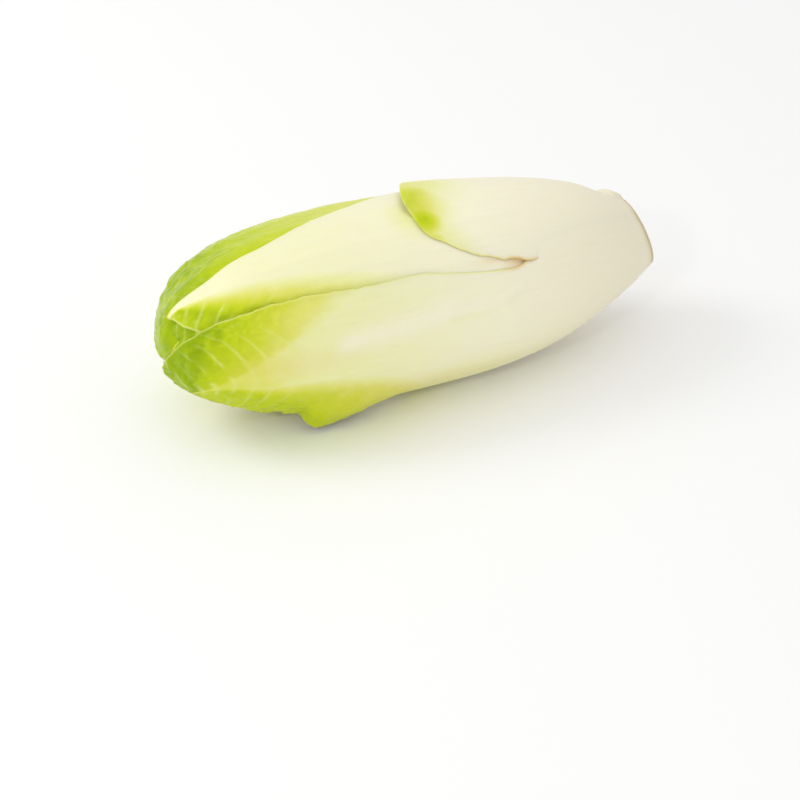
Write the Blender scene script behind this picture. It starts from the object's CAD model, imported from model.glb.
"""A head of belgian endive lying on its side: fine leaves with veins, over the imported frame.

Metres in Blender, millimetres and degrees in the leaf field. +X points to the cut stem, -X to the leaf
tips, +Z up, -Y is the front. A place in the field is given by its station (length along the head's side
line from the cut face), its angle about the head (0 up, + towards the front) and its depth below the
head's outer form. Each leaf lies below all those listed before it.
"""
import math

import bpy
import numpy as np
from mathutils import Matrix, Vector


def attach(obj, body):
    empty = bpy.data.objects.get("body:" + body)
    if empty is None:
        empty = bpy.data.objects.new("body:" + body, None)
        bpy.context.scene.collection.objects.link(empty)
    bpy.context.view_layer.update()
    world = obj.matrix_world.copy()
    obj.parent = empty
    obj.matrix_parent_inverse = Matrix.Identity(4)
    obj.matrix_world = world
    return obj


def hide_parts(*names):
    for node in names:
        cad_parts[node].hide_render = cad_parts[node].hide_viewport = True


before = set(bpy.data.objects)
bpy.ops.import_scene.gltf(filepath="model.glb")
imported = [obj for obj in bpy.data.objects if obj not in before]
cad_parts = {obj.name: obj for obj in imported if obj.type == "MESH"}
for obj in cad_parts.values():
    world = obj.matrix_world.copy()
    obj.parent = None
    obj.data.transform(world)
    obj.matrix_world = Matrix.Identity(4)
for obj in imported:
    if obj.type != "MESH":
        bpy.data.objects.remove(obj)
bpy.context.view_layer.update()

MM = 0.001
DEG = math.pi / 180
# Least values of divisors: of a downward share, of a band and of a rounded-off width.
LEAST_DOWN = 1e-3
LEAST_BAND = 1e-9
LEAST_ROUND = 1e-6

# ---- the head's outer form ----
HEAD_LENGTH = 150.0
HEAD_RADIUS = 28.5
CUT_RADIUS = 10.5
WIDEST_AT = 0.48  # share of the length, from the cut face
BASE_FULLNESS = 2.5
TIP_FULLNESS = 3.3
TIP_SHARPNESS = 2.0
STEM_RISE = 2.2  # how much the cut stem sits above the head's middle line
STEM_RISE_LENGTH = 40.0
REST_DEPTH = 1.2  # how far the flat that it rests on cuts into the round body
OUTER_REST = 0.2  # depth of the outer leaves, which carry the flat
AXIS_HEIGHT = (HEAD_RADIUS - REST_DEPTH) * (1 - OUTER_REST / HEAD_RADIUS)
CUT_FACE_X = 73.0
CUT_SLANT = 0.3  # the cut leans back towards its upper side by this share of the height
CUT_SLANT_LENGTH = 26.0
PROFILE_STEPS = 600
TIP_CROWDING = 3  # power with which the side line's points crowd at the tip

# ---- how leaves lie on one another ----
GAP = 0.15  # clear space between one leaf and the next
LEAF_MARGIN = 0.25  # what lies below stays down for this much beyond a leaf's outline
FOOT_FADE = (0.4, 0.05)  # the body under a leaf steps down between these distances from its foot
FOOT_THICKENING = 1.2
FOOT_TAPER = 4  # power with which the thick foot thins out along the leaf
FOOT_MERGE = (14, 4)  # stations between which a leaf's foot grows out of the stem
MERGED_STEP = 0.03  # each grown-together leaf lies this much below the one before
MERGED_SINK = 0.2  # how far such a leaf's margin goes under the surface beside it
MERGED_MARGIN = (0.75, 1)  # shares of its half width between which it does so
RIB_START = 0.12  # share of a leaf's length over which its rib rises
RIB_TAPER = 0.7  # power with which the rib thins out along the leaf
RIB_ROUNDNESS = 1.5  # power with which it thins out across the leaf
RIDGE_WIDTH = (0.45, 0.25)  # share of the half width that a rib's ridge takes, how much less at the tip
RIDGE_ALONG = (0.08, 0.3, 0.85, 1)  # shares of the length between which it rises and falls again
DEPTH_ROUNDING = 0.12  # over which one depth passes into another
EDGE_RADIUS = 0.35  # distance from the margin over which a blade is rounded off
EDGE_THICKNESS = 0.04
THIN_MARGIN = 0.35  # thickness at the margin, as a share of the blade's
THIN_WIDTH = 5.0  # distance from the margin over which a blade thickens
TIP_SHARE = 0.9997  # the grid stops just short of the tip, so that no face is empty
ROW_CROWDING = 1.8  # power with which a grid's rows crowd at the tip
COLUMN_CROWDING = 0.45  # how much a grid's columns crowd at the margins
WHOLE_WIDTH = (-2, -1.9)  # range of q of a lift of even height from margin to margin

# ---- fine relief ----
LATTICE_SIZE = 64
LATTICE_SEED = 7
LATTICE = np.random.default_rng(LATTICE_SEED).random((LATTICE_SIZE, LATTICE_SIZE))
VEIN_STATIONS = (84, 154)  # where the first and the last of evenly spread veins leave the rib
VEIN_COUNT = 13
VEIN_CROWDING = 1.35  # power with which they crowd towards the tip
VEIN_VARIETY = (0.4, 30)  # how much the strength of such veins varies, and how quickly
VEIN_WIDTH = 0.42
VEIN_FLARE = 1.3  # how much wider a vein is where it leaves the rib
VEIN_FLARE_WIDTH = 9  # degrees from the rib over which it narrows
VEIN_TURN = 0.93  # share of its spread after which a vein runs no further towards the tip
VEIN_HEIGHT = 0.1
VEIN_STROKE = (5, 10)  # length in mm and degrees of the strokes that a vein breaks up into
VEIN_BREAKS = (-0.75, 0.25)  # values of the random field between which a stroke begins
VEIN_REACH = 7  # the green starts later by this on a vein
VEIN_GREEN = (0, 0.35)  # veins show between these amounts of green
VEIN_END = (1, 0.85)  # shares of the half width between which every vein ends
VEIN_FADE = (0.3, 0.9)  # and those between which a leaf's vein_fade sets in
QUILT_HEIGHT = 0.26
QUILT_SIZE = 2.6
QUILT_FINER = (2.3, 0.5)  # how much finer its second layer is, and the height of that layer
RIDGE_HEIGHT = 0.14
RIDGE_SIZE = (3.2, 60)  # across and along the leaf
RIDGE_FINER = (2.1, 0.6)  # the same of the ridges, finer across the leaf alone
SWELL_HEIGHT = 0.22
SWELL_SIZE = (11, 34)
SWELL_OFFSET = 7  # from the ridges' place in the random field
FOLD_PALENESS = 3.2  # share of the green that a fold loses for each mm of its height
MARGIN_WAVE = 0.35
MARGIN_WAVE_SIZE = 7
MARGIN_WAVE_ACROSS = (0.7, 1)  # shares of the half width between which the margin begins to wave
MARGIN_WAVE_GREEN = (0.1, 0.6)  # amounts of green between which it does so
MARGIN_WAVE_OFFSET = 3.5  # between the two margins' waves
MARGIN_FRAY = 0.012
MARGIN_FRAY_SIZE = 2.2
MARGIN_FRAY_ALONG = (0.3, 0.6)  # shares of the length between which the margin begins to fray
MARGIN_FRAY_OFFSET = 5
RIM_WIDTH = 0.45
FOOT_BROWN = (2.5, 0)  # distances from the foot between which it turns brown
CREASE_DROP = 1.4  # how far a leaf falls away beyond the fold across its tip
CREASE_RUN = (-0.2, 1.2)  # distances from that fold between which it does so
CREASE_GREEN_RUN = (0, 0.8)  # and those between which the leaf turns green
NO_CREASE = -99.0  # distance from the fold on a leaf without one

# ---- where leaves are green ----
GREEN_LEAN = 0.8  # power with which the start of the green leans from the rib's to the margin's
GREEN_RISE = 1.1  # power with which it deepens
PALE_EDGE = (0.1, 2)  # the green sets in between these multiples of the pale band's half width
PALE_SOFTNESS = 6  # over this many degrees more near the foot
PALE_SOFT = (150, 118)  # stations between which this comes in
RIB_PALE = (50, 120)  # stations between which a rib takes on its leaf's pale_green
RIB_TIP = (112, 148)  # stations between which it takes on its leaf's rib_green

# ---- the stem's core and the heart ----
STEM_COLUMNS = 160
SHOULDER_ROWS = 48
CONE_ROWS = 20
CORE_SHOULDER = 16  # station where the stem's core starts to taper
CORE_END = 42
CORE_END_SHARE = 0.18
CORE_CLEARANCE = 2.6  # below the leaf feet
CUT_RINGS = 30
CUT_DOME = 0.35
CUT_RELIEF = 0.07
CUT_RELIEF_SCALE = 9
CUT_RELIEF_OFFSET = 20
CUT_WAVES = (14, 0.5)  # pace of the rings in the cut, and their share of its relief
CUT_EDGE = 0.01  # the side looks like the cut up to this station
HEART_START = 46
HEART_DEPTH = 15
HEART_ROWS = 60
HEART_COLUMNS = 100
HEART_RADIUS = 12  # of its surface pattern
HEART_FOLD_LENGTH = 60
HEART_FOLD_DEPTH = 0.9
HEART_FOLD_RISE = 12
HEART_GREEN = (90, 90, 0.8)  # station where the green begins, length over which it grows, its limit


def smooth(start, end, value):
    """0 before start, 1 after end; also where end is the smaller one."""
    t = np.clip((value - start) / (end - start), 0, 1)
    return t * t * (3 - 2 * t)


def between(places, value):
    """Rises between the first two of four places and falls again between the last two."""
    return smooth(places[0], places[1], value) * smooth(places[3], places[2], value)


def ripple(x, y):
    """A smooth random field between -1 and 1, with a value of its own at each whole x and y."""
    i, j = np.floor(x).astype(int), np.floor(y).astype(int)
    s, t = smooth(0, 1, x - i), smooth(0, 1, y - j)

    def at(di, dj):
        return LATTICE[(i + di) % LATTICE_SIZE, (j + dj) % LATTICE_SIZE]

    low = at(0, 0) * (1 - s) + at(1, 0) * s
    high = at(0, 1) * (1 - s) + at(1, 1) * s
    return 2 * (low * (1 - t) + high * t) - 1


def curve(points):
    """A smooth curve through (position, value) points, as a function."""
    x, y = np.array(points, float).T
    slopes = np.diff(y) / np.diff(x)
    tangents = np.concatenate([slopes[:1], (slopes[:-1] + slopes[1:]) / 2, slopes[-1:]])

    def value_at(position):
        v = np.clip(position, x[0], x[-1])
        i = np.clip(np.searchsorted(x, v, side="right") - 1, 0, len(x) - 2)
        h = x[i + 1] - x[i]
        k = (v - x[i]) / h
        return ((1 + 2 * k) * (1 - k) ** 2 * y[i] + k * (1 - k) ** 2 * h * tangents[i]
                + k * k * (3 - 2 * k) * y[i + 1] + k * k * (k - 1) * h * tangents[i + 1])

    return value_at


def side_line():
    """Stations, distances from the cut face and radii of the head's side line."""
    k = np.linspace(0, 1, PROFILE_STEPS + 1)
    base_u = WIDEST_AT * k
    base_r = CUT_RADIUS + (HEAD_RADIUS - CUT_RADIUS) * (1 - (1 - k) ** BASE_FULLNESS)
    v = 1 - (1 - k[1:]) ** TIP_CROWDING
    tip_u = WIDEST_AT + (1 - WIDEST_AT) * v
    tip_r = HEAD_RADIUS * np.clip(1 - v ** TIP_FULLNESS, 0, 1) ** (1 / TIP_SHARPNESS)
    x = HEAD_LENGTH * np.concatenate([base_u, tip_u])
    radius = np.concatenate([base_r, tip_r])
    station = np.concatenate([[0], np.cumsum(np.hypot(np.diff(x), np.diff(radius)))])
    return station, x, radius


LINE_STATION, LINE_X, LINE_RADIUS = side_line()
TOTAL = LINE_STATION[-1]
CAP = TOTAL - math.pi / 2 * HEAD_RADIUS  # from here on leaves run over the end as over a ball


def leaf_to_head(at, along, across):
    """Station and angle of a place on the leaf centred at that angle."""
    lean = math.pi / 2 * (TOTAL - along) / (TOTAL - CAP)
    forward = np.cos(across) * np.cos(lean)
    up = np.cos(across) * np.sin(lean)
    side = np.sin(across)
    fall = np.arctan2(np.hypot(up, side), forward)
    over_end = along > CAP
    station = np.where(over_end, TOTAL - fall / (math.pi / 2) * (TOTAL - CAP), along)
    return station, at + np.where(over_end, np.arctan2(side, up), across)


def head_to_leaf(at, station, angle):
    """The reverse: where on that leaf a place on the head is."""
    turn = np.angle(np.exp(1j * (angle - at)))
    fall = math.pi / 2 * (TOTAL - station) / (TOTAL - CAP)
    up = np.sin(fall) * np.cos(turn)
    over_end = station > CAP
    along = TOTAL - np.arctan2(up, np.cos(fall)) / (math.pi / 2) * (TOTAL - CAP)
    across = np.arcsin(np.clip(np.sin(fall) * np.sin(turn), -1, 1))
    return np.where(over_end, along, station), np.where(over_end, across, turn)


def place(station, angle, depth):
    """Points in the row frame, in metres."""
    x = np.interp(station, LINE_STATION, LINE_X)
    radius = np.interp(station, LINE_STATION, LINE_RADIUS)
    down = np.maximum(-np.cos(angle), LEAST_DOWN)
    r = np.minimum(radius, (HEAD_RADIUS - REST_DEPTH) / down) * (1 - depth / HEAD_RADIUS)
    away = x * (1 - depth / HEAD_LENGTH)
    rise = STEM_RISE * np.clip(1 - away / STEM_RISE_LENGTH, 0, 1) ** 2
    slant = CUT_SLANT * r * np.cos(angle) * np.clip(1 - away / CUT_SLANT_LENGTH, 0, 1) ** 2
    points = [CUT_FACE_X - away - slant, -r * np.sin(angle), AXIS_HEIGHT + r * np.cos(angle) + rise]
    return np.stack(points, -1) * MM


# ---- leaves ----
# The keys of a leaf. Stations and lengths are in mm, widths in degrees about the head, q runs from -1 at
# the back margin over 0 to 1 at the front margin, and a share is one of the leaf's length.
# at: angle of its middle. foot, tip: stations. rest: least depth. grid: rows and columns.
# front, back: (share, half width). spine: (share, degrees by which the middle strays from at).
# bluntness: power with which the tip rounds off. blade, rib, ridge: thicknesses and height.
# lifts: height over a range of q and over four shares. dented: the same three, taken off the outer side.
# band: mm beyond the outline over which what lies below rises again. fused_foot: 1 where the foot has
# grown together with the stem. merge: side (1 front, -1 back), range of q and of stations over which a
# margin has grown together with what lies below it. crease: (degrees, station) of a fold across the tip.
# rib_line: (station, degrees from at) of the rib. pale: (station, half width) of the pale band beside it.
# veins: (station, strength) of the side veins where they leave the rib, or None for evenly spread ones
# of vein_strength. vein_run: how far they lean to the tip, in mm. vein_spread: degrees that they bend
# towards. vein_fade: how much of them is lost at the margin. quilt: how high the blade swells between
# them. green_back, green_front: stations where the blade begins to turn green beside the rib and at the
# margin, stations where it is fully so, and how green that is. pale_green, rib_green: green of the whole
# leaf and of its rib's end. tip_green: strength, reach from the margin and a range of stations.
# spots of green and stains: (station, degrees, length, degrees, strength). edge_stains: (station, length,
# strength, width) along the margin. folds: (start, end, width, height), each end (station, degrees).
LEAF_DEFAULTS = dict(
    spine=[(0, 0), (1, 0)], blade=.8, band=1.8, lifts=(), dented=None, fused_foot=1, merge=None,
    crease=None, rib_line=[(0, 0), (160, 0)], pale=[(60, 18), (120, 6), (160, 1)], veins=None,
    vein_strength=.6, vein_run=12, vein_spread=49, vein_fade=.6, quilt=1,
    green_back=(128, 84, 154, 146, .9), green_front=(128, 84, 154, 146, .9), pale_green=.03, rib_green=0,
    tip_green=None, spots=(), stains=(), edge_stains=(), folds=())
LEAVES = [
    dict(name="leaf_back", at=-105, foot=.5, tip=151,
         front=[(0, 98), (.025, 102), (.04, 98), (.065, 54), (.2, 45), (.28, 44), (.6, 40), (1, 38)],
         back=[(0, 75), (.2, 68), (.5, 65), (.8, 52), (1, 45)],
         bluntness=7, rest=OUTER_REST, rib=2.6, ridge=.6, grid=(220, 112), fused_foot=0,
         merge=(1, (.85, 1), (30, 18)),
         lifts=[dict(height=3.8, across=(.1, .6), along=(-.1, .005, .02, .065))]),
    dict(name="leaf_short", at=-30, foot=.65, tip=78.5,
         spine=[(0, 0), (.5, 0), (.8, 12), (1, 38)],
         front=[(0, 60), (.2, 78), (.5, 84), (.65, 80), (.8, 65), (.88, 50), (.94, 36), (1, 31)],
         back=[(0, 50), (.3, 60), (.7, 55), (.91, 28), (1, 16)],
         bluntness=26, rest=.3, rib=2.6, blade=1.1, ridge=.3, grid=(180, 165),
         merge=(1, (.35, .75), (50, 44)), dented=(2, (.5, .05), (0, .06, .1, .2)), pale_green=.07,
         lifts=[dict(height=2.5, across=(.6, -.35), along=(.55, 1, 2, 3))],
         veins=(), quilt=.3, green_back=(74, 60, 90, 84, .35), green_front=(74, 60, 90, 84, .35),
         spots=[(76, 46.5, 4.3, 10, .8), (77, 30, 7.5, 21, .58), (76, 5, 13, 24, .38)],
         tip_green=(.45, 8, 68, 77),
         edge_stains=[(52, 8, .75, .8), (64, 9, .25, .5)]),
    dict(name="leaf_front", at=90, foot=.8, tip=163.5,
         spine=[(0, 0), (.3, -2), (.45, -7), (.6, -7), (.73, -1.5), (.85, 9), (1, 14)],
         front=[(0, 65), (.12, 74), (.22, 82), (.42, 86), (.5, 74), (.56, 61), (.7, 58), (.79, 53),
                (.85, 38), (.92, 20), (1, 14)],
         back=[(0, 60), (.2, 56), (.27, 46), (.31, 33), (.36, 30), (.44, 31), (.5, 34), (.6, 35),
               (.73, 45), (.8, 52), (.9, 53), (.95, 42), (1, 22)],
         bluntness=8, rest=OUTER_REST, rib=2.6, ridge=.5, grid=(262, 168),
         merge=(-1, (.8, .97), (50, 45)),
         lifts=[dict(height=4.6, across=(.5, 1.05), along=(.52, .67, .675, .725)),
                dict(height=-.25, across=(-.7, -1), along=(.3, .4, .76, .84)),
                dict(height=-.15, across=(.8, 1), along=(.8, .86, 1.1, 1.2))],
         rib_line=[(0, 0), (60, -4), (97, -7), (109, -6), (120.5, -1.5), (129, 3.4), (140, 8.8),
                   (154, 22.7)],
         pale=[(60, 22), (110, 13), (128, 7), (140, 1.5), (155, .3)], vein_run=10,
         veins=((96, .1), (104, .2), (111.5, .3), (118.5, .45), (126, .75), (132, .9),
                (138, .8), (143.5, .8), (148.5, .7), (152.5, .5)),
         pale_green=.12, rib_green=.36,
         green_back=(126, 93, 152, 149, 1), green_front=(114, 52, 146, 112, .76),
         vein_fade=.7, quilt=2.1,
         spots=[(152, 5, .9, 1.6, 1), (90, 42, 50, 24, .13)], edge_stains=[(53, 5, .7, .8)],
         stains=[(78, 34, 26, 13, .15), (119, -4, 18, 8, .12)],
         folds=[((76, -17.5), (60, -16.3), 2.2, .34), ((76, -12.5), (61, -11), 1.3, -.3),
                ((60, -17.5), (53, -21.8), 1, .5), ((57.5, -14), (51, -17.5), 1, -.3),
                ((77, -17.5), (106, -12), 3.4, .26)]),
    dict(name="leaf_under", at=182, foot=.95, tip=157,
         front=[(0, 75), (.5, 62), (1, 58)], back=[(0, 75), (.5, 62), (.65, 40), (.8, 20), (1, 12)],
         bluntness=6, rest=.4, rib=2.4, ridge=0, grid=(150, 92)),
    dict(name="leaf_middle", at=22, foot=1.1, tip=161,
         spine=[(0, 0), (.5, 0), (.75, 2), (1, 4)],
         front=[(0, 60), (.5, 52), (.9, 40), (.96, 25), (1, 12)],
         back=[(0, 60), (.4, 55), (.48, 48), (.58, 36), (.65, 31), (.75, 21.5), (.83, 18),
               (.87, 14.5), (.93, 11.5), (.97, 11), (1, 9)],
         bluntness=30, rest=.85, rib=2.4, ridge=0, quilt=1.8, pale_green=.06, grid=(262, 148),
         lifts=[dict(height=.8, across=WHOLE_WIDTH, along=(.3, .6, .8, .9)),
                dict(height=1, across=WHOLE_WIDTH, along=(.86, .935, .94, .99))],
         rib_line=[(0, 0), (100, -2), (140, -4), (160, -3)],
         pale=[(60, 30), (99, 16), (116, 14), (127, 12.5), (136, 10), (143, 6), (150, 1)],
         vein_run=22, vein_spread=52,
         veins=((82, .1), (90, .2), (97.8, .45), (105.5, .3), (112.8, .6), (119, .45), (124.5, .95),
                (130.9, .8), (139, .75), (145.5, .6), (151, .5)),
         green_back=(148, 149, 156, 157, .75), green_front=(114, 52, 147, 132, .88),
         spots=[(80, -10, 6, 16, .13)],
         crease=[(-12, 158), (-5, 155), (2.3, 152.3), (7.3, 151.2), (12.5, 149.4), (30, 146)],
         vein_fade=.25, stains=[(53.5, 30.8, 3.5, 3, .6), (59, 27.5, 6, 2.5, .3)]),
    dict(name="leaf_crown", at=-2, foot=1.25, tip=169,
         front=[(0, 60), (.5, 55), (1, 45)], back=[(0, 60), (.5, 58), (.8, 58), (1, 50)],
         bluntness=9, rest=1.3, rib=2.2, ridge=.2, grid=(215, 132),
         lifts=[dict(height=3.4, across=(-.3, -1), along=(.35, .55, .88, 1.01))],
         vein_run=14, vein_spread=80, rib_line=[(0, 24), (150, 22), (169, 12)],
         vein_strength=.15, vein_fade=1,
         pale=[(60, 12), (90, 2), (165, .1)], pale_green=.2,
         green_back=(36, 20, 148, 138, .96), green_front=(60, 40, 148, 136, .96)),
    dict(name="leaf_rear", at=-78, foot=1.4, tip=165, front=[(0, 60), (1, 50)], back=[(0, 60), (1, 50)],
         bluntness=7, rest=1.9, rib=2, ridge=0, grid=(150, 92)),
    dict(name="leaf_lower", at=162, foot=1.55, tip=164, front=[(0, 60), (1, 52)], back=[(0, 60), (1, 52)],
         bluntness=7, rest=1.9, rib=2, ridge=0, grid=(150, 92)),
]
INNER_COUNT = 3
INNER_START = 70
GOLDEN_ANGLE = 137.5
INNER_FOOT = 28
INNER_FOOT_STEP = 3
INNER_TIP = 163
INNER_TIP_STEP = -2
INNER_LEAF = dict(front=[(0, 62), (1, 55)], back=[(0, 62), (1, 55)], bluntness=7, rest=14.2, rib=1.6,
                  ridge=0, grid=(100, 60))


class Leaf:
    """The form and the markings of one leaf, over places on the head."""

    def __init__(self, spec):
        self.__dict__.update(LEAF_DEFAULTS, **spec)
        self.centre = self.at * DEG
        self.front_width = curve(self.front)
        self.back_width = curve(self.back)
        self.bend = curve(self.spine)
        self.rib_at = curve(self.rib_line)
        self.pale_width = curve(self.pale)
        self.fold = curve(self.crease) if self.crease else None
        if self.veins is None:
            self.veins = self.even_veins()

    def even_veins(self):
        first, last = VEIN_STATIONS
        variety, pace = VEIN_VARIETY
        steps = [i / VEIN_COUNT for i in range(VEIN_COUNT)]
        return [(first + (last - first) * (1 - (1 - k) ** VEIN_CROWDING),
                 self.vein_strength * (1 + variety * math.sin(pace * k + self.at))) for k in steps]

    def share(self, along, grow=0.0):
        """Share of the leaf's length, or of that of a leaf grown by some millimetres."""
        return (along - self.foot) / (self.tip + grow - self.foot)

    def half_width(self, share, across):
        """Half width on that side of the leaf's middle, in radians."""
        return np.where(across >= 0, self.front_width(share), self.back_width(share)) * DEG

    def outline(self, along, across, grow):
        """Negative inside the outline grown by some millimetres."""
        share = np.maximum(self.share(along, grow), 0)
        within = np.minimum(share, 1)
        off = across - self.bend(within) * DEG
        width = self.half_width(within, off) + grow / HEAD_RADIUS
        return (off / width) ** 2 + share ** self.bluntness - 1

    def cover(self, station, angle):
        """1 where this leaf covers what lies below, fading to 0 beyond its outline."""
        along, across = head_to_leaf(self.centre, station, angle)
        inner = self.outline(along, across, LEAF_MARGIN)
        outer = self.outline(along, across, LEAF_MARGIN + self.band)
        share = smooth(0, 1, -outer / np.maximum(inner - outer, LEAST_BAND))
        return share * smooth(self.foot - FOOT_FADE[0], self.foot - FOOT_FADE[1], along)

    def merged(self, along, q):
        """1 where the leaf has grown together with what lies below it, at its foot and along a margin."""
        foot = smooth(*FOOT_MERGE, along) * self.fused_foot
        if not self.merge:
            return foot
        side, across, stations = self.merge
        return np.maximum(foot, smooth(*across, q * side) * smooth(*stations, along))

    def body(self, station, angle):
        """Thickness, and how far the leaf has grown together with what lies below."""
        along, across = head_to_leaf(self.centre, station, angle)
        share = np.clip(self.share(along), 0, 1)
        off = across - self.bend(share) * DEG
        round_off = np.sqrt(np.maximum(1 - share ** self.bluntness, LEAST_ROUND))
        width = self.half_width(share, off) * round_off
        q = np.clip(off / width, -1, 1)
        margin = np.minimum((1 - np.abs(q)) * width * HEAD_RADIUS, self.tip - along)
        blade = self.blade * (THIN_MARGIN + (1 - THIN_MARGIN) * smooth(0, THIN_WIDTH, margin))
        foot = FOOT_THICKENING * (1 - share) ** FOOT_TAPER
        rib = self.rib * (1 - share) ** RIB_TAPER * smooth(0, RIB_START, share)
        full = blade + foot + rib * (1 - q * q) ** RIB_ROUNDNESS
        return full, self.merged(along, q)

    def dent(self, share, q, thickness):
        """How much of its outer side the leaf lacks; never more than leaves the blade whole."""
        if not self.dented:
            return 0
        height, across, stretch = self.dented
        return np.minimum(height * smooth(*across, q) * between(stretch, share), thickness - self.blade)

    def raised(self, share, q):
        """Height of the rib's ridge and of the leaf's lifts."""
        width, narrowing = RIDGE_WIDTH
        ridge = np.exp(-(q / (width - narrowing * share)) ** 2)
        height = self.ridge * ridge * between(RIDGE_ALONG, share)
        for lift in self.lifts:
            height = height + lift["height"] * smooth(*lift["across"], q) * between(lift["along"], share)
        return height

    def relief(self, along, across, q, green, vein):
        """Fine height over the leaf's form: veins, quilting between them, ridges and a waved margin."""
        x = across * HEAD_RADIUS
        seed = self.at
        finer, share = QUILT_FINER
        quilt = ripple(x / QUILT_SIZE + seed, along / QUILT_SIZE) + share * ripple(
            finer * x / QUILT_SIZE + seed, finer * along / QUILT_SIZE)
        finer, share = RIDGE_FINER
        ridges = ripple(x / RIDGE_SIZE[0] + seed, along / RIDGE_SIZE[1]) + share * ripple(
            finer * x / RIDGE_SIZE[0] + seed, along / RIDGE_SIZE[1])
        swell = ripple(x / SWELL_SIZE[0] + seed, along / SWELL_SIZE[1] + SWELL_OFFSET)
        wave = ripple(along / MARGIN_WAVE_SIZE, seed + np.sign(q) * MARGIN_WAVE_OFFSET)
        wave = wave * smooth(*MARGIN_WAVE_ACROSS, np.abs(q)) * smooth(*MARGIN_WAVE_GREEN, green)
        return (self.folded(along, across) + VEIN_HEIGHT * vein
                + QUILT_HEIGHT * self.quilt * quilt * green ** 2 * (1 - vein)
                + (RIDGE_HEIGHT * ridges + SWELL_HEIGHT * swell) * (1 - green) + MARGIN_WAVE * wave)

    def folded(self, along, across):
        """Height of the shallow folds in the blade."""
        height = np.zeros(np.shape(along))
        for start, end, width, top in self.folds:
            height += top * np.exp(-(distance_to_line(along, across, start, end) / width) ** 2)
        return height

    def vein(self, along, across):
        """1 on a side vein, 0 away from it."""
        off = np.abs(across / DEG - self.rib_at(along))
        run = self.vein_run * np.log(1 - np.clip(off / self.vein_spread, 0, VEIN_TURN))
        width = VEIN_WIDTH * (1 + VEIN_FLARE * np.exp(-off / VEIN_FLARE_WIDTH))
        vein = np.zeros(np.shape(along))
        for start, strength in self.veins:
            vein = np.maximum(vein, strength * np.exp(-((along + run - start) / width) ** 2))
        strokes = ripple(along / VEIN_STROKE[0] + self.at, off / VEIN_STROKE[1])
        return vein * smooth(*VEIN_BREAKS, strokes)

    def green(self, along, across, q, vein):
        """0 where the leaf is white, 1 where it is deep green."""
        off = across / DEG - self.rib_at(along)
        lean = np.abs(q) ** GREEN_LEAN
        pale = self.pale_width(along)
        soft = PALE_SOFTNESS * smooth(*PALE_SOFT, along)
        blade = smooth(pale * PALE_EDGE[0], pale * PALE_EDGE[1] + soft, np.abs(off))
        amount = 0
        for side, (rib, margin, full_rib, full_margin, strength) in ((-1, self.green_back),
                                                                     (1, self.green_front)):
            start = rib + (margin - rib) * lean + VEIN_REACH * vein
            full = full_rib + (full_margin - full_rib) * lean
            part = np.clip((along - start) / (full - start), 0, 1) ** GREEN_RISE * strength
            amount = amount + np.where(np.sign(off) == side, part * blade, 0)
        rib = self.pale_green * smooth(*RIB_PALE, along) + self.rib_green * smooth(*RIB_TIP, along)
        amount = np.maximum(amount, rib) * (1 - FOLD_PALENESS * self.folded(along, across))
        return np.clip(np.maximum(amount, patches(self.spots, along, across)), 0, 1)

    def marks_at_margin(self, along, across, margin, green):
        """The green with the margin's own green added, and the stains."""
        if self.tip_green:
            strength, reach, begin, end = self.tip_green
            green = np.maximum(green, strength * np.exp(-margin / reach) * smooth(begin, end, along))
        stain = patches(self.stains, along, across)
        for station, length, strength, width in self.edge_stains:
            edge = np.exp(-((along - station) / length) ** 2 - (margin / width) ** 2)
            stain = np.maximum(stain, strength * edge)
        return green, stain

    def past_crease(self, along, across):
        """Millimetres beyond the fold across the tip, negative before it."""
        if not self.crease:
            return np.full(np.shape(along), NO_CREASE)
        return along - self.fold(across / DEG)


def patches(places, along, across):
    """Soft oval patches: (station, degrees, length, degrees, strength) each."""
    amount = np.zeros(np.shape(along))
    for station, degrees, length, width, strength in places:
        patch = np.exp(-((along - station) / length) ** 2 - ((across / DEG - degrees) / width) ** 2)
        amount = np.maximum(amount, patch * strength)
    return amount


def distance_to_line(along, across, start, end):
    """Millimetres from the straight line between two (station, degrees) places on a leaf."""
    x, y = along - start[0], across * HEAD_RADIUS - start[1] * DEG * HEAD_RADIUS
    run, rise = end[0] - start[0], (end[1] - start[1]) * DEG * HEAD_RADIUS
    t = np.clip((x * run + y * rise) / (run ** 2 + rise ** 2), 0, 1)
    return np.hypot(x - t * run, y - t * rise)


def deeper(a, b):
    """The larger of two depths, rounded where they meet."""
    return (a + b + np.sqrt((a - b) ** 2 + DEPTH_ROUNDING ** 2)) / 2


def bed_under(leaves, station, angle):
    """Depth down to which the given leaves fill the place, and how free of them it is."""
    bed = np.zeros(np.shape(station))
    free = np.ones(np.shape(station))
    for leaf in leaves:
        cover = leaf.cover(station, angle)
        thickness, merged = leaf.body(station, angle)
        under = deeper(leaf.rest, bed) + thickness + GAP
        bed += cover * (1 - merged) * (under - bed)
        free *= 1 - cover
    return bed, free


# ---- meshes ----
def mesh_object(name, points, faces, attributes):
    """A smooth object in the scene, with a value for each point under each attribute's name."""
    mesh = bpy.data.meshes.new(name)
    mesh.from_pydata(points.tolist(), [], faces)
    for key, values in attributes.items():
        mesh.attributes.new(key, "FLOAT", "POINT").data.foreach_set("value", values.ravel().astype("f"))
    mesh.shade_smooth()
    piece = bpy.data.objects.new(name, mesh)
    bpy.context.scene.collection.objects.link(piece)
    return piece


def grid_faces(rows, columns, start=0, flip=False):
    """Faces of a grid of points that are numbered row by row."""
    i, j = np.meshgrid(np.arange(rows), np.arange(columns), indexing="ij")
    corner = (i * (columns + 1) + j).ravel() + start
    faces = np.stack([corner, corner + 1, corner + columns + 2, corner + columns + 1], -1)
    return faces[:, ::-1] if flip else faces


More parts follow.
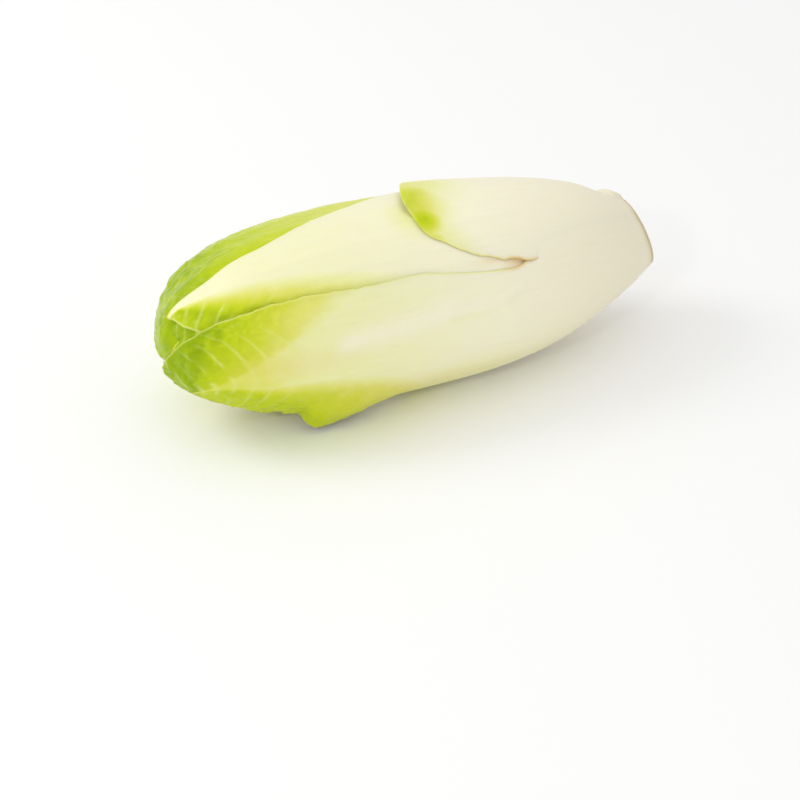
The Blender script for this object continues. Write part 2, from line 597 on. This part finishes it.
def leaf_grid(leaf):
    """For each point of the leaf: share of the length, q, place on the leaf, distance from the margin."""
    rows, columns = leaf.grid
    k = np.linspace(0, 1, rows + 1)
    u = np.linspace(-1, 1, columns + 1)
    shares = TIP_SHARE * (1 - (1 - k) ** ROW_CROWDING)
    crowded = (1 - COLUMN_CROWDING) * u + COLUMN_CROWDING * np.sin(math.pi / 2 * u)
    share, q = np.meshgrid(shares, crowded, indexing="ij")
    along = leaf.foot + share * (leaf.tip - leaf.foot)
    width = leaf.half_width(share, q) * np.sqrt(1 - share ** leaf.bluntness)
    fray = ripple(along / MARGIN_FRAY_SIZE, leaf.at + MARGIN_FRAY_OFFSET * np.sign(q))
    fray = 1 + MARGIN_FRAY * fray * smooth(*MARGIN_FRAY_ALONG, share)
    across = leaf.bend(share) * DEG + q * width * fray
    margin = np.minimum((1 - np.abs(q)) * width * HEAD_RADIUS, (1 - share) * (leaf.tip - leaf.foot))
    return share, q, along, across, margin


def leaf_marks(leaf, q, along, across, margin, past, merged):
    """What the material reads at each point of the leaf."""
    vein = leaf.vein(along, across) * smooth(*VEIN_END, np.abs(q))
    green = leaf.green(along, across, q, vein)
    vein = vein * smooth(*VEIN_GREEN, green) * (1 - leaf.vein_fade * smooth(*VEIN_FADE, np.abs(q)))
    green, stain = leaf.marks_at_margin(along, across, margin, green)
    green = np.maximum(green, smooth(*CREASE_GREEN_RUN, past))
    rim = np.exp(-(margin / RIM_WIDTH) ** 2) * (1 - merged)
    rim = np.maximum(rim, np.exp(-(past / RIM_WIDTH) ** 2))
    return dict(green=green, vein=vein, along=along, across=across * HEAD_RADIUS, stain=stain, rim=rim,
                foot=smooth(*FOOT_BROWN, along - leaf.foot))


def leaf_piece(leaf, above, material):
    """The leaf as a closed sheet that lies below the leaves above it."""
    share, q, along, across, margin = leaf_grid(leaf)
    station, angle = leaf_to_head(leaf.centre, along, across)
    thickness, merged = leaf.body(station, angle)
    past = leaf.past_crease(along, across)
    marks = leaf_marks(leaf, q, along, across, margin, past, merged)
    height = leaf.raised(share, q) + leaf.relief(along, across, q, marks["green"], marks["vein"])
    height = height - CREASE_DROP * smooth(*CREASE_RUN, past)
    rounding = 1 - np.sqrt(1 - (1 - np.clip(margin / EDGE_RADIUS, 0, 1)) ** 2)
    rounding = rounding * (thickness - EDGE_THICKNESS) / 2
    dent = np.maximum(leaf.dent(share, q, thickness), 0)
    thickness = thickness - dent
    depth, free = bed_under(above, station, angle)
    top = deeper(leaf.rest, depth) - height * free
    level = OUTER_REST + MERGED_STEP * len(above) + MERGED_SINK * smooth(*MERGED_MARGIN, np.abs(q))
    top = top + (level - top) * merged + dent
    outer = place(station, angle, top + rounding)
    inner = place(station, angle, top + thickness - rounding)
    attributes = {key: np.stack([value, value]) for key, value in marks.items()}
    piece = mesh_object(leaf.name + "_fine", *closed_sheet(outer, inner), attributes)
    piece.data.materials.append(material)
    finish_piece(piece, leaf.name)


def closed_sheet(outer, inner):
    """Points and faces of a sheet between two grids of points."""
    rows, columns = outer.shape[0] - 1, outer.shape[1] - 1
    count = outer.shape[0] * outer.shape[1]
    points = np.concatenate([outer.reshape(-1, 3), inner.reshape(-1, 3)])
    number = np.arange(count).reshape(rows + 1, columns + 1)
    edge = np.concatenate([number[:, 0], number[-1, 1:], number[-2::-1, -1], number[0, -2:0:-1]])
    following = np.roll(edge, -1)
    rim = np.stack([edge, following, following + count, edge + count], -1)
    faces = np.concatenate([grid_faces(rows, columns, 0, True), grid_faces(rows, columns, count), rim])
    return points, faces.tolist()


def finish_piece(piece, node):
    """Puts the piece on the part's root in place of the node, with that node's slot."""
    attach(piece, "root")
    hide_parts(node)


# ---- materials ----
def srgb(red, green, blue):
    """Linear colour from 0-255 values."""
    values = [v / 255 for v in (red, green, blue)]
    return [v / 12.92 if v <= .04045 else ((v + .055) / 1.055) ** 2.4 for v in values] + [1]


class Nodes:
    """Short calls for a material's node tree."""

    def __init__(self, name):
        self.material = bpy.data.materials.new(name)
        self.material.use_nodes = True
        self.tree = self.material.node_tree
        self.shader = self.tree.nodes["Principled BSDF"]

    def add(self, kind, settings=(), **inputs):
        """A node; i0, i1 and so on are its inputs by number, the others by name."""
        node = self.tree.nodes.new("ShaderNode" + kind)
        for key, value in dict(settings).items():
            setattr(node, key, value)
        for key, value in inputs.items():
            self.set(node.inputs[int(key[1:]) if key[0] == "i" and key[1:].isdigit() else key], value)
        return node

    def set(self, socket, value):
        """Links an output to the socket, or sets the socket to a value."""
        if isinstance(value, bpy.types.NodeSocket):
            self.tree.links.new(value, socket)
        else:
            socket.default_value = value

    def attribute(self, name):
        return self.add("Attribute", dict(attribute_name=name)).outputs["Fac"]

    def math(self, operation, a, b=0.0, clamp=False):
        return self.add("Math", dict(operation=operation, use_clamp=clamp), i0=a, i1=b).outputs[0]

    def mix(self, factor, a, b, blend="MIX"):
        node = self.add("Mix", dict(data_type="RGBA", blend_type=blend), i0=factor, i6=a, i7=b)
        return node.outputs[2]

    def ramp(self, factor, stops):
        node = self.add("ValToRGB", i0=factor)
        elements = node.color_ramp.elements
        while len(elements) < len(stops):
            elements.new(1)
        for element, (position, colour) in zip(elements, stops):
            element.position = position
            element.color = colour
        return node.outputs[0]

    def noise(self, vector, scale, detail=3.0, roughness=.55):
        node = self.add("TexNoise", i0=vector, i2=scale, i3=detail, i4=roughness)
        return node.outputs["Fac"]

    def from_range(self, value, start, end):
        """0 to 1 while the value runs from start to end."""
        return self.add("MapRange", i0=value, i1=start, i2=end).outputs[0]

    def to_range(self, value, low, high):
        """low to high while the value runs from 0 to 1."""
        return self.add("MapRange", i0=value, i3=low, i4=high).outputs[0]

    def finish(self, colour, roughness, height, bump, constants):
        """Links what varies to the shader and sets the constants on its own sockets."""
        self.set(self.shader.inputs["Base Color"], colour)
        self.set(self.shader.inputs["Roughness"], roughness)
        strength, distance = bump
        normal = self.add("Bump", i0=strength, i1=distance, Height=height).outputs[0]
        self.set(self.shader.inputs["Normal"], normal)
        for name, value in constants.items():
            self.shader.inputs[name].default_value = value
        return self.material


# Pattern scales are in 1/mm. A bump is its strength and its distance in m.
WHITE = srgb(255, 255, 255)
BASE_COLOUR = srgb(240, 231, 208)
FOOT_COLOUR = srgb(220, 200, 142)
VEIN_COLOUR = srgb(226, 234, 132)
RIM_COLOUR = srgb(238, 240, 140)
STAIN_COLOUR = srgb(226, 176, 96)
GREENING = [(0, srgb(249, 244, 217)), (.13, srgb(240, 240, 176)), (.3, srgb(230, 229, 122)),
            (.5, srgb(214, 220, 70)), (.7, srgb(200, 213, 34)), (.86, srgb(182, 202, 14)),
            (1, srgb(150, 178, 2))]
STREAK_SQUEEZE = 0.08  # of the leaf's length, which draws a pattern out into streaks along it
STREAK_SCALE = 1.1
STREAK_TINT = [(.3, srgb(238, 236, 222)), (.7, WHITE)]
BLOTCH_SCALE = 0.2
BLOTCH_DETAIL = 4
BLOTCH_GREEN = 0.3  # how much the blotches vary the green
BLOTCH_RISE = 2  # they do so fully from the inverse of this amount of green
GRAIN_SCALE = 5
GRAIN_DETAIL = 2
NET_SCALE = 0.8
NET_WIDTH = 0.2
BASE_STATIONS = (60.0, 5.0)  # stations between which a leaf turns to the colour of its base
COLOUR_SHARES = dict(base=.8, vein=.7, rim=.75, foot=.9, streaks=.12)
BUMP_SHARES = dict(net=-.25, streaks=.25, grain=.03)
LEAF_BUMP = (.25, .0006)
LEAF_ROUGHNESS = (.28, .46)
GREEN_GLOSS = 0.16  # how much less rough the deepest green is
LEAF_CONSTANTS = {
    "Specular IOR Level": .12, "Subsurface Weight": .18, "Subsurface Radius": (1, .9, .35),
    "Subsurface Scale": .0015, "Coat Weight": .02, "Coat Roughness": .2}


def leaf_colour(nodes, along, green, streaks, blotches):
    """White to green, then the base, veins, rim, stains, foot and pale streaks over it."""
    share = COLOUR_SHARES
    varied = nodes.math("MULTIPLY", nodes.math("SUBTRACT", blotches, .5), BLOTCH_GREEN)
    varied = nodes.math("MULTIPLY", varied, nodes.math("MULTIPLY", green, BLOTCH_RISE, True))
    colour = nodes.ramp(nodes.math("ADD", green, varied, True), GREENING)
    base = nodes.from_range(along, *BASE_STATIONS)
    colour = nodes.mix(nodes.math("MULTIPLY", base, share["base"]), colour, BASE_COLOUR)
    vein = nodes.math("MULTIPLY", nodes.attribute("vein"), share["vein"], True)
    colour = nodes.mix(vein, colour, VEIN_COLOUR)
    rim = nodes.math("MULTIPLY", nodes.attribute("rim"), share["rim"])
    colour = nodes.mix(rim, colour, RIM_COLOUR)
    colour = nodes.mix(nodes.attribute("stain"), colour, STAIN_COLOUR)
    foot = nodes.math("MULTIPLY", nodes.attribute("foot"), nodes.math("MULTIPLY", blotches, share["foot"]))
    colour = nodes.mix(foot, colour, FOOT_COLOUR)
    return nodes.mix(share["streaks"], colour, nodes.ramp(streaks, STREAK_TINT), "MULTIPLY")


def leaf_height(nodes, on_leaf, green, streaks, grain):
    """A net of fine veins in the green, streaks along the leaf and grain."""
    cells = nodes.add("TexVoronoi", dict(feature="DISTANCE_TO_EDGE"), i0=on_leaf, i2=NET_SCALE).outputs[0]
    net = nodes.math("MULTIPLY", nodes.math("SMOOTH_MIN", cells, NET_WIDTH), green)
    net = nodes.math("MULTIPLY", net, BUMP_SHARES["net"])
    height = nodes.math("ADD", net, nodes.math("MULTIPLY", streaks, BUMP_SHARES["streaks"]))
    return nodes.math("ADD", height, nodes.math("MULTIPLY", grain, BUMP_SHARES["grain"]))


def leaf_material(name):
    nodes = Nodes(name)
    along, across, green = (nodes.attribute(key) for key in ("along", "across", "green"))
    squeezed = nodes.math("MULTIPLY", along, STREAK_SQUEEZE)
    streaks = nodes.noise(nodes.add("CombineXYZ", i0=across, i1=squeezed).outputs[0], STREAK_SCALE)
    on_leaf = nodes.add("CombineXYZ", i0=across, i1=along).outputs[0]
    blotches = nodes.noise(on_leaf, BLOTCH_SCALE, BLOTCH_DETAIL)
    grain = nodes.noise(on_leaf, GRAIN_SCALE, GRAIN_DETAIL)
    gloss = nodes.math("MULTIPLY", green, GREEN_GLOSS)
    roughness = nodes.math("SUBTRACT", nodes.to_range(grain, *LEAF_ROUGHNESS), gloss)
    colour = leaf_colour(nodes, along, green, streaks, blotches)
    height = leaf_height(nodes, on_leaf, green, streaks, grain)
    return nodes.finish(colour, roughness, height, LEAF_BUMP, LEAF_CONSTANTS)


CUT_COLOURS = [(0, srgb(238, 229, 196)), (.38, srgb(243, 236, 208)), (.5, srgb(228, 212, 168)),
               (.62, srgb(242, 234, 206)), (.88, srgb(232, 217, 178)), (.97, srgb(198, 160, 98))]
CUT_WAVER = 0.1  # how far the rings of the cut stray, as a share of its radius
SPECKLES = [(.3, srgb(222, 205, 160)), (.55, WHITE)]
SPECKLE_SHARE = 0.6
STEM_BLOTCH_SCALE = 0.6
STEM_BLOTCH_SHARE = 0.5
STEM_GRAIN_SCALE = 3
STEM_GRAIN_DETAIL = 3
STEM_BUMP = (.4, .0005)
STEM_ROUGHNESS = (.45, .7)
STEM_CONSTANTS = {
    "Subsurface Weight": .2, "Subsurface Radius": (1, .8, .4), "Subsurface Scale": .002}


def stem_material(name):
    nodes = Nodes(name)
    along, across = nodes.attribute("along"), nodes.attribute("across")
    on_stem = nodes.add("CombineXYZ", i0=across, i1=along).outputs[0]
    blotches = nodes.noise(on_stem, STEM_BLOTCH_SCALE, BLOTCH_DETAIL)
    grain = nodes.noise(on_stem, STEM_GRAIN_SCALE, STEM_GRAIN_DETAIL)
    waver = nodes.math("MULTIPLY", nodes.math("SUBTRACT", blotches, .5), CUT_WAVER)
    face = nodes.ramp(nodes.math("ADD", nodes.attribute("radial"), waver), CUT_COLOURS)
    face = nodes.mix(SPECKLE_SHARE, face, nodes.ramp(grain, SPECKLES), "MULTIPLY")
    side = nodes.mix(nodes.math("MULTIPLY", blotches, STEM_BLOTCH_SHARE), BASE_COLOUR, FOOT_COLOUR)
    colour = nodes.mix(nodes.attribute("cut"), side, face)
    roughness = nodes.to_range(grain, *STEM_ROUGHNESS)
    return nodes.finish(colour, roughness, grain, STEM_BUMP, STEM_CONSTANTS)


# ---- pieces of rings ----
def round_piece(name, node, rings, start, end, attributes, material):
    """A closed piece of rings of points between two end points."""
    columns = rings.shape[1]
    points = np.concatenate([[start], rings.reshape(-1, 3), [end]])
    around = np.arange(columns)
    following = (around + 1) % columns
    rows = 1 + columns * np.arange(len(rings))
    bands = [np.stack([low + around, high + around, high + following, low + following], -1)
             for low, high in zip(rows[:-1], rows[1:])]
    last = len(points) - 1
    ends = [(0, rows[0] + a, rows[0] + b) for a, b in zip(around, following)]
    ends += [(last, rows[-1] + b, rows[-1] + a) for a, b in zip(around, following)]
    piece = mesh_object(name, points, np.concatenate(bands).tolist() + ends, attributes)
    piece.data.materials.append(material)
    finish_piece(piece, node)


def stem_piece(leaves, material):
    """The cut's face, the side below the leaf feet and the cone that the leaves grow from."""
    angle = np.linspace(0, 2 * math.pi, STEM_COLUMNS, endpoint=False)
    station = np.concatenate([np.linspace(0, CORE_SHOULDER, SHOULDER_ROWS),
                              np.linspace(CORE_SHOULDER, CORE_END, CONE_ROWS)[1:]])
    s, a = np.meshgrid(station, angle, indexing="ij")
    bed, free = bed_under(leaves, s, a)
    bed = OUTER_REST + bed + CORE_CLEARANCE * (1 - free)
    taper = np.clip((s - CORE_SHOULDER) / (CORE_END - CORE_SHOULDER), 0, 1)
    share = (1 - bed / HEAD_RADIUS) * (1 - (1 - CORE_END_SHARE) * np.sqrt(taper))
    side = place(s, a, HEAD_RADIUS * (1 - share))
    f, b = np.meshgrid(np.linspace(0, 1, CUT_RINGS + 1)[1:-1], angle, indexing="ij")
    face = place(0 * f, b, HEAD_RADIUS * (1 - f * (1 - OUTER_REST / HEAD_RADIUS)))
    face[..., 0] += cut_height(f, b) * MM
    rings = np.concatenate([face, side])
    middle = place(np.zeros(1), np.zeros(1), np.full(1, HEAD_RADIUS))[0] + [CUT_DOME * MM, 0, 0]
    end = place(np.full(1, CORE_END), np.zeros(1), np.full(1, HEAD_RADIUS))[0]
    cut = np.concatenate([np.ones(face.shape[:2]), np.where(s < CUT_EDGE, 1.0, 0.0)])
    radial = np.concatenate([f, np.ones(s.shape)])
    x = np.concatenate([f * np.sin(b), a / math.pi]) * CUT_RADIUS
    y = np.concatenate([f * np.cos(b) * CUT_RADIUS, s])
    attributes = dict(cut=with_ends(cut, 1, 0), radial=with_ends(radial, 0, 1),
                      across=with_ends(x, 0, 0), along=with_ends(y, 0, 0))
    round_piece("stem_core_fine", "stem_core", rings, middle, end, attributes, material)


def cut_height(share, angle):
    """Height of the cut's dome, its rings and its roughness, at a share of its radius."""
    scale, offset = CUT_RELIEF_SCALE, CUT_RELIEF_OFFSET
    pace, strength = CUT_WAVES
    rough = ripple(scale * share * np.cos(angle) + offset, scale * share * np.sin(angle) + offset)
    return CUT_DOME * (1 - share ** 2) + CUT_RELIEF * (rough + np.cos(pace * share) * strength)


def with_ends(values, first, last):
    """The rings' values between those of the two end points."""
    return np.concatenate([[first], values.ravel(), [last]])


def heart_piece(leaves, material):
    """The innermost leaves, folded tight, as one bud."""
    angle = np.linspace(0, 2 * math.pi, HEART_COLUMNS, endpoint=False)
    k = np.linspace(0, 1, HEART_ROWS + 1)[:-1]
    station = HEART_START + (TOTAL - HEART_START) * np.sin(math.pi / 2 * k)
    s, a = np.meshgrid(station, angle, indexing="ij")
    bed = bed_under(leaves, s, a)[0]
    turn = (a / math.pi + s / HEART_FOLD_LENGTH) % 1
    folds = HEART_FOLD_DEPTH * (turn - .5) * smooth(HEART_START, HEART_START + HEART_FOLD_RISE, s)
    rings = place(s, a, HEART_DEPTH + bed + folds)
    ends = [place(np.full(1, end), np.zeros(1), np.full(1, depth))[0]
            for end, depth in ((HEART_START, HEAD_RADIUS), (TOTAL, HEART_DEPTH))]
    begin, length, most = HEART_GREEN
    green = np.clip((s - begin) / length, 0, most)
    attributes = dict(green=with_ends(green, 0, most), along=with_ends(s, HEART_START, TOTAL),
                      across=with_ends(a * HEART_RADIUS, 0, 0))
    round_piece("heart_bud_fine", "heart_bud", rings, *ends, attributes, material)


leaf_look = leaf_material("leaf")
outer_leaves = [Leaf(spec) for spec in LEAVES]
inner_leaves = [Leaf(dict(INNER_LEAF, name=f"leaf_inner_{i + 1}", at=INNER_START + GOLDEN_ANGLE * i,
                          foot=INNER_FOOT + INNER_FOOT_STEP * i, tip=INNER_TIP + INNER_TIP_STEP * i))
                for i in range(INNER_COUNT)]
for leaves in (outer_leaves, inner_leaves):
    for i, leaf in enumerate(leaves):
        leaf_piece(leaf, leaves[:i], leaf_look)
heart_piece(inner_leaves, leaf_look)
stem_piece(outer_leaves, stem_material("stem"))

# ---- floor, lights and camera ----
CAMERA_LENS = 100
CAMERA_SENSOR = 36
CAMERA_AZIMUTH = -23.5
CAMERA_ELEVATION = 35
CAMERA_DISTANCE = 0.640
CAMERA_TARGET = Vector((-0.009, -0.0135, -0.0004))
# Azimuth and elevation in degrees, distance and size in m, power in W.
LIGHTS = dict(overhead=(275, 70, 1.4, 1.6, 3.0), key=(238, 42, 1.0, .4, 1.9),
              front=(315, 36, 1.1, .07, .8))
WORLD_COLOUR = (1, 1, 1, 1)
WORLD_STRENGTH = 0.76
FLOOR_COLOUR = (.97, .97, .965, 1)
FLOOR_ROUGHNESS = 0.8
FLOOR_HALF = 3.0  # half its width


def direction(azimuth, elevation):
    """Unit vector towards a place at that azimuth (0 is in front, -Y) and elevation."""
    a, e = azimuth * DEG, elevation * DEG
    return Vector((math.sin(a) * math.cos(e), -math.cos(a) * math.cos(e), math.sin(e)))


def add_camera():
    camera = bpy.data.cameras.new("camera")
    camera.lens = CAMERA_LENS
    camera.sensor_width = CAMERA_SENSOR
    holder = bpy.data.objects.new("camera", camera)
    towards = direction(CAMERA_AZIMUTH, CAMERA_ELEVATION)
    holder.location = CAMERA_TARGET + towards * CAMERA_DISTANCE
    holder.rotation_euler = towards.to_track_quat("Z", "Y").to_euler()
    bpy.context.scene.collection.objects.link(holder)
    bpy.context.scene.camera = holder


def add_light(name, azimuth, elevation, distance, size, watts):
    light = bpy.data.lights.new(name, "AREA")
    light.size = size
    light.energy = watts
    holder = bpy.data.objects.new(name, light)
    towards = direction(azimuth, elevation)
    holder.location = towards * distance
    holder.rotation_euler = towards.to_track_quat("Z", "Y").to_euler()
    bpy.context.scene.collection.objects.link(holder)


def add_floor():
    mesh = bpy.data.meshes.new("floor")
    corners = [(x * FLOOR_HALF, y * FLOOR_HALF, 0) for x, y in ((-1, -1), (1, -1), (1, 1), (-1, 1))]
    mesh.from_pydata(corners, [], [(0, 1, 2, 3)])
    floor = bpy.data.objects.new("floor", mesh)
    nodes = Nodes("floor")
    nodes.shader.inputs["Base Color"].default_value = FLOOR_COLOUR
    nodes.shader.inputs["Roughness"].default_value = FLOOR_ROUGHNESS
    floor.data.materials.append(nodes.material)
    bpy.context.scene.collection.objects.link(floor)


def add_world():
    world = bpy.data.worlds.new("studio")
    world.use_nodes = True
    background = world.node_tree.nodes["Background"]
    background.inputs["Color"].default_value = WORLD_COLOUR
    background.inputs["Strength"].default_value = WORLD_STRENGTH
    bpy.context.scene.world = world


add_floor()
add_world()
add_camera()
for light_name, light_values in LIGHTS.items():
    add_light(light_name, *light_values)
bpy.context.scene.view_settings.view_transform = "Standard"
